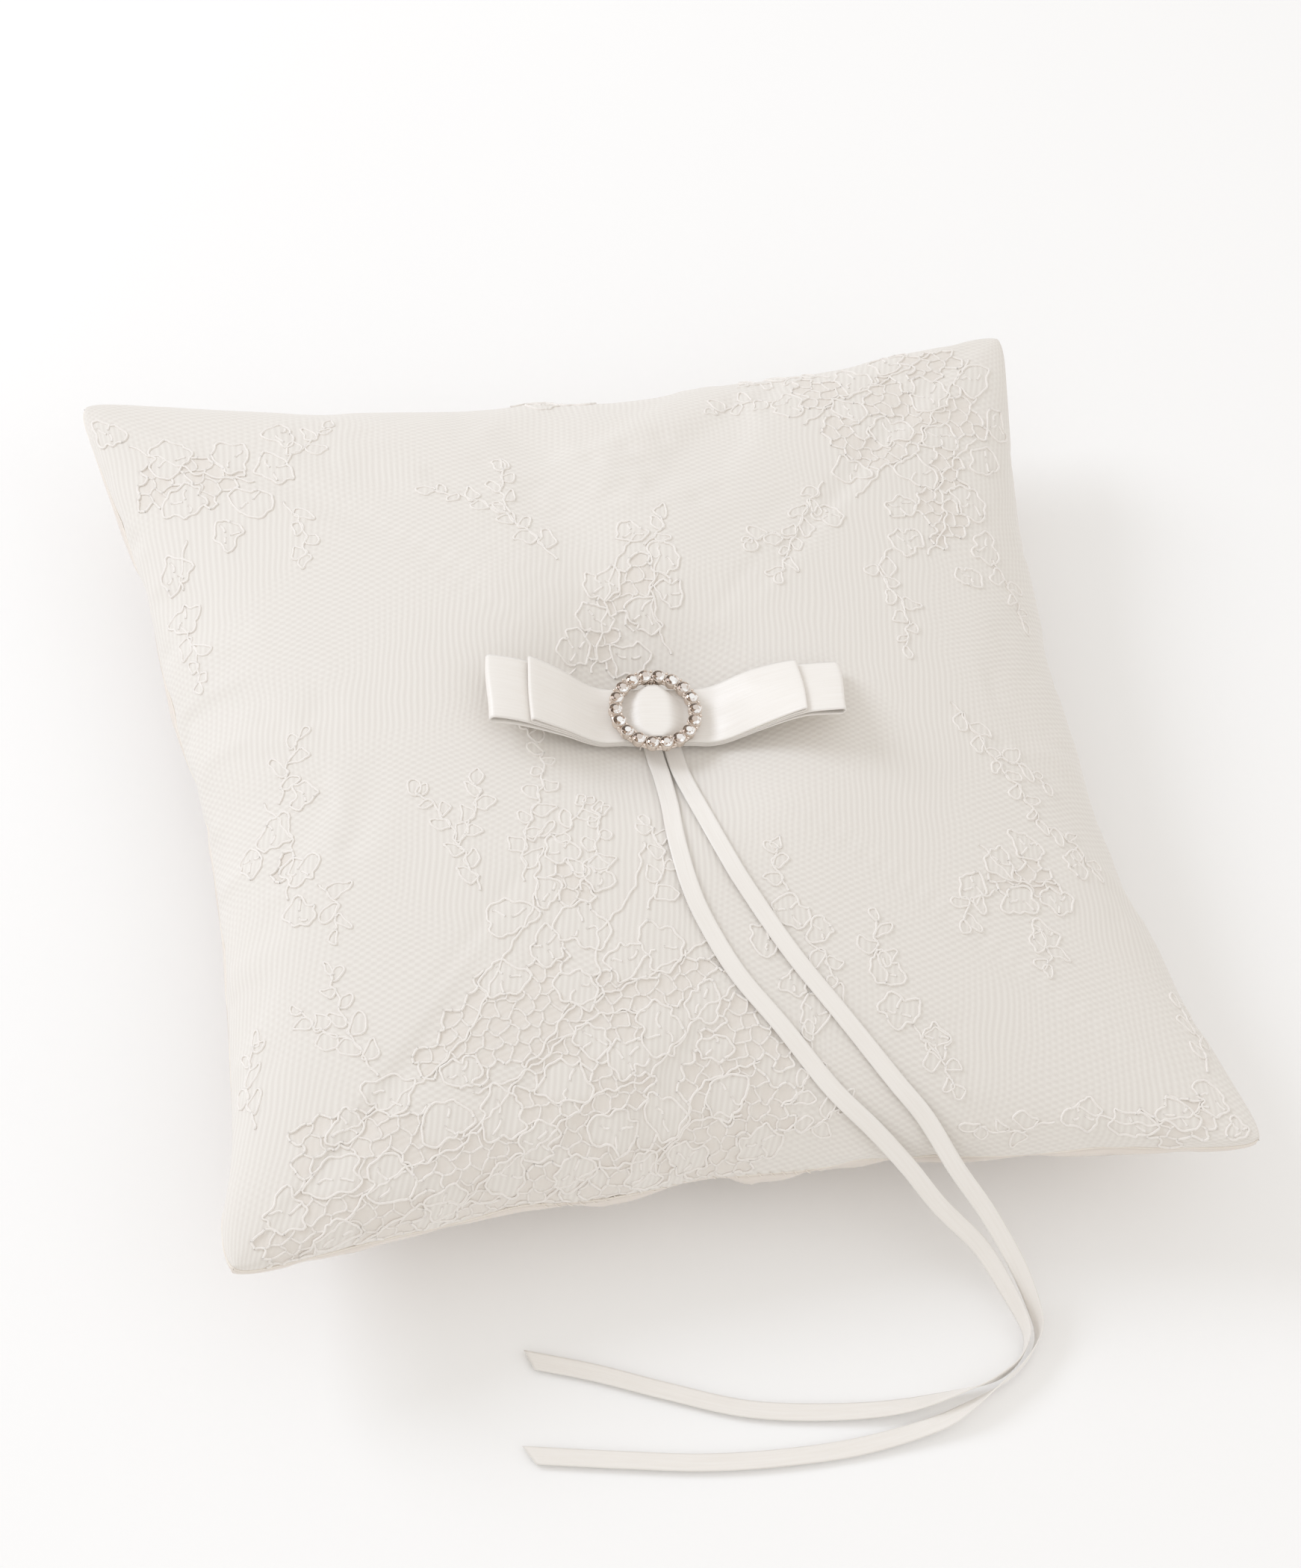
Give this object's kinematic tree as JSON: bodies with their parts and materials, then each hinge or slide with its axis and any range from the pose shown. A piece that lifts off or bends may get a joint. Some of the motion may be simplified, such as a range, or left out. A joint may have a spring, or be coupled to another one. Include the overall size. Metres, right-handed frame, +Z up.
{
  "type": "ring bearer pillow",
  "caption": "Square ivory ring bearer pillow with a corded-lace front, a flat satin bow threaded through a round rhinestone buckle, and narrow satin streamers for the rings.",
  "frame": {"origin": "under the middle of the pillow, on the surface that it lies on", "axes": "+Z up out of the lace front, +X along the bow to its right-hand end, +Y to the far edge, away from the streamers"},
  "size_m": [0.2, 0.2384, 0.0482],
  "materials": {
    "ivory_satin": "bridal satin, ivory, warp-faced, soft sheen",
    "corded_lace": "corded floral lace on fine tulle, matt threads",
    "polyester_fibre": "loose white polyester fibre",
    "satin_ribbon": "woven-edge satin ribbon, ivory",
    "sewing_thread": "spun polyester sewing thread",
    "silver_plate": "bright warm silver plate on cast zinc alloy",
    "cut_glass": "round-cut clear glass with a foiled back"
  },
  "bodies": {
    "pillow": {"polyester_filling": "polyester_fibre", "back_panel": "ivory_satin", "front_panel": "ivory_satin", "lace_overlay": "corded_lace", "seam_thread": "sewing_thread", "closing_thread": "sewing_thread", "bow_long_loop": "satin_ribbon", "bow_short_loop": "satin_ribbon", "streamer_left": "satin_ribbon", "streamer_right": "satin_ribbon", "streamer_stitch": "sewing_thread"},
    "buckle": {"buckle_frame": "silver_plate", "rhinestone_01": "cut_glass", "rhinestone_02": "cut_glass", "rhinestone_03": "cut_glass", "rhinestone_04": "cut_glass", "rhinestone_05": "cut_glass", "rhinestone_06": "cut_glass", "rhinestone_07": "cut_glass", "rhinestone_08": "cut_glass", "rhinestone_09": "cut_glass", "rhinestone_10": "cut_glass", "rhinestone_11": "cut_glass", "rhinestone_12": "cut_glass", "rhinestone_13": "cut_glass", "rhinestone_14": "cut_glass", "rhinestone_15": "cut_glass", "rhinestone_16": "cut_glass", "rhinestone_17": "cut_glass", "rhinestone_18": "cut_glass"}
  },
  "joints": [
    {"name": "buckle_rock", "type": "hinge", "parent": "pillow", "child": "buckle", "pos_m": [-0.0005, 0.0032, 0.04087], "axis": [0.1097, 0.994, 0], "range_deg": [-2.5, 2.5], "stiffness_Nm_per_rad": 0.002}
  ]
}
